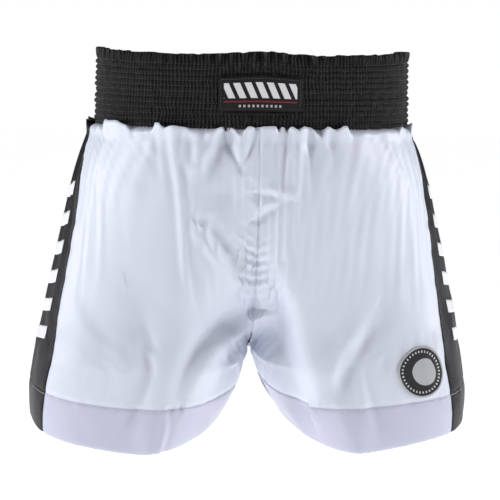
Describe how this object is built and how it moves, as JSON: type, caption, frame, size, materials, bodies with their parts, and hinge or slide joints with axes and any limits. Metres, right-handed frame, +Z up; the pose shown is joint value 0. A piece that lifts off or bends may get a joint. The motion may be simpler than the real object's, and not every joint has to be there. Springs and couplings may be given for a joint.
{
  "type": "boxing shorts",
  "caption": "Satin boxing shorts with a wide shirred elastic waistband, flared legs with deep hems, contrasting side panels, a front label and a round leg badge.",
  "frame": {"origin": "centre of the waist opening, in the plane of the top rim", "axes": "+X towards the wearer's left, -Y towards the front, +Z up out of the waist"},
  "size_m": [0.436, 0.23, 0.373],
  "materials": {
    "white_satin": "satin weave, white with a cool cast",
    "black_satin": "satin weave, black",
    "waistband_satin": "shirred satin, black",
    "woven_elastic": "woven elastic, off-white",
    "label_weave": "woven label, near black with white and red marks",
    "badge_weave": "woven patch, dark ring and pale grey centre",
    "white_print": "thin heat-pressed film, white",
    "white_thread": "polyester thread, white",
    "black_thread": "polyester thread, black",
    "overlock_thread": "overlocked thread, white"
  },
  "bodies": {
    "seat": {"centre_back_overlock": "overlock_thread", "centre_front_overlock": "overlock_thread", "front_label": "label_weave", "front_label_stitching": "black_thread", "left_back_panel_seat": "white_satin", "left_back_side_overlock_seat": "overlock_thread", "left_front_panel_seat": "white_satin", "left_front_side_overlock_seat": "overlock_thread", "left_side_block_seat_1": "white_print", "left_side_block_seat_2": "white_print", "left_side_block_seat_3": "white_print", "left_side_panel_seat": "black_satin", "right_back_panel_seat": "white_satin", "right_back_side_overlock_seat": "overlock_thread", "right_front_panel_seat": "white_satin", "right_front_side_overlock_seat": "overlock_thread", "right_side_block_seat_1": "white_print", "right_side_block_seat_2": "white_print", "right_side_block_seat_3": "white_print", "right_side_panel_seat": "black_satin", "waist_seam_overlock": "overlock_thread", "waistband_cover": "waistband_satin", "waistband_elastic": "woven_elastic", "waistband_shirring_01": "black_thread", "waistband_shirring_02": "black_thread", "waistband_shirring_03": "black_thread", "waistband_shirring_04": "black_thread", "waistband_shirring_05": "black_thread", "waistband_shirring_06": "black_thread", "waistband_shirring_07": "black_thread", "waistband_shirring_08": "black_thread", "waistband_shirring_09": "black_thread", "waistband_shirring_10": "black_thread", "waistband_shirring_11": "black_thread", "waistband_shirring_12": "black_thread"},
    "left_leg": {"left_back_panel_leg": "white_satin", "left_back_side_overlock_leg": "overlock_thread", "left_front_panel_leg": "white_satin", "left_front_side_overlock_leg": "overlock_thread", "left_hem_stitching": "white_thread", "left_inseam_overlock": "overlock_thread", "left_leg_badge": "badge_weave", "left_side_block_leg_4": "white_print", "left_side_block_leg_5": "white_print", "left_side_block_leg_6": "white_print", "left_side_panel_leg": "black_satin"},
    "right_leg": {"right_back_panel_leg": "white_satin", "right_back_side_overlock_leg": "overlock_thread", "right_front_panel_leg": "white_satin", "right_front_side_overlock_leg": "overlock_thread", "right_hem_stitching": "white_thread", "right_inseam_overlock": "overlock_thread", "right_side_block_leg_4": "white_print", "right_side_block_leg_5": "white_print", "right_side_block_leg_6": "white_print", "right_side_panel_leg": "black_satin"}
  },
  "joints": [
    {"name": "left_leg_swing", "type": "hinge", "parent": "seat", "child": "left_leg", "pos_m": [0.1, 0, -0.22], "axis": [-1, 0, 0], "range_deg": [-15, 30], "deforming": ["centre_front_overlock", "left_back_panel_seat", "left_back_side_overlock_seat", "left_front_panel_seat", "left_front_side_overlock_seat", "left_side_block_seat_1", "left_side_block_seat_2", "left_side_block_seat_3", "left_side_panel_seat"]},
    {"name": "right_leg_swing", "type": "hinge", "parent": "seat", "child": "right_leg", "pos_m": [-0.1, 0, -0.22], "axis": [-1, 0, 0], "range_deg": [-15, 30], "deforming": ["centre_back_overlock", "right_back_panel_seat", "right_back_side_overlock_seat", "right_front_panel_seat", "right_front_side_overlock_seat", "right_side_block_seat_1", "right_side_block_seat_2", "right_side_block_seat_3", "right_side_panel_seat"]}
  ]
}
